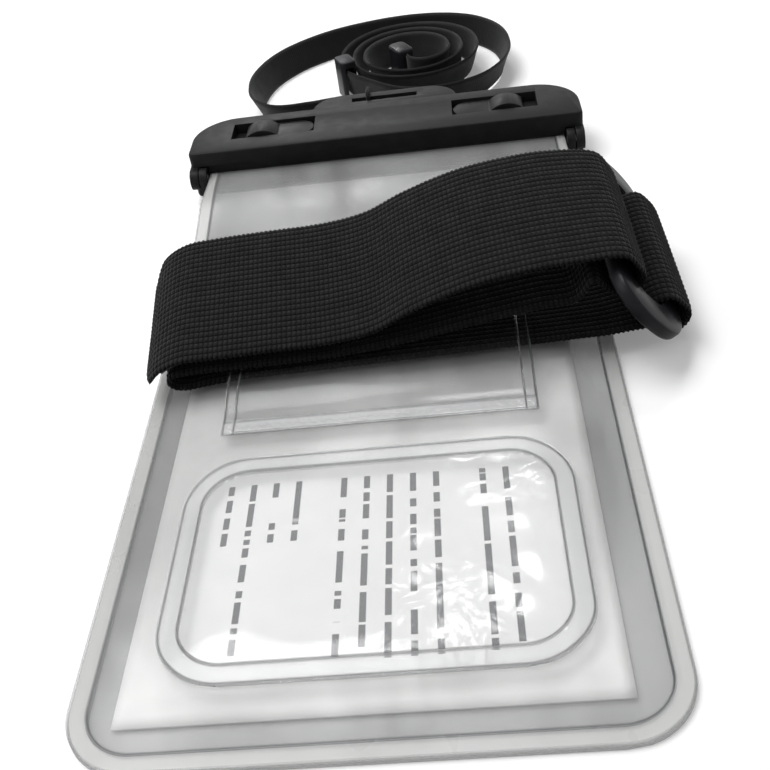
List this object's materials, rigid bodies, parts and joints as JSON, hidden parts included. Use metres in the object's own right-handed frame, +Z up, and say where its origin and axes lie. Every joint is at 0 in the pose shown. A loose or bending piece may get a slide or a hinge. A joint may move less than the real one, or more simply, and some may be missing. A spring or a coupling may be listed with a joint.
{
  "type": "waterproof phone pouch",
  "caption": "Flat welded film pouch for a phone, with a camera window, a hinged clamp bar with slide latches, an elastic armband on a slider ring and a neck lanyard.",
  "frame": {"origin": "under the middle of the pouch and its armband, on the surface that it lies on", "axes": "+X across the pouch towards the slider ring, +Y from its closed bottom to the clamp bar, +Z up"},
  "size_m": [0.1262, 0.292, 0.0336],
  "materials": {
    "frosted_film": "frosted, translucent, semi-gloss",
    "clear_film": "clear and glossy, slightly wrinkled",
    "paper": "uncoated white paper",
    "clamp_plastic": "black moulded plastic with a fine satin texture",
    "latch_plastic": "black moulded plastic, satin",
    "ring_plastic": "black polished plastic",
    "webbing": "black knitted elastic webbing with a raised grid",
    "hook_tape": "black hook tape",
    "ribbon": "black woven polyester ribbon",
    "seal_rubber": "soft grey rubber",
    "steel": "plain steel"
  },
  "bodies": {
    "pouch": {"lower_film": "frosted_film", "upper_film": "frosted_film", "window_film": "clear_film", "armband_sleeve": "clear_film", "paper_insert": "paper", "clamp_rear_jaw": "clamp_plastic", "hinge_pin_left": "steel", "hinge_pin_right": "steel", "seal_strip": "seal_rubber", "armband_webbing": "webbing", "hook_patch": "hook_tape", "slider_ring": "ring_plastic", "lanyard_tether": "ribbon", "lanyard_ribbon": "ribbon", "lanyard_crimp": "steel", "lanyard_slider": "ring_plastic", "lanyard_clasp": "ring_plastic"},
    "front_jaw": {"clamp_front_jaw": "clamp_plastic"},
    "left_latch": {"latch_left": "latch_plastic"},
    "right_latch": {"latch_right": "latch_plastic"}
  },
  "joints": [
    {"name": "jaw_hinge", "type": "hinge", "parent": "pouch", "child": "front_jaw", "pos_m": [-0.0061, 0.07775, 0.0067], "axis": [1, 0, 0], "range_deg": [0, 90]},
    {"name": "left_latch_slide", "type": "slide", "parent": "front_jaw", "child": "left_latch", "axis": [-1, 0, 0], "range_m": [0, 0.0038]},
    {"name": "right_latch_slide", "type": "slide", "parent": "front_jaw", "child": "right_latch", "axis": [1, 0, 0], "range_m": [0, 0.0038]}
  ]
}
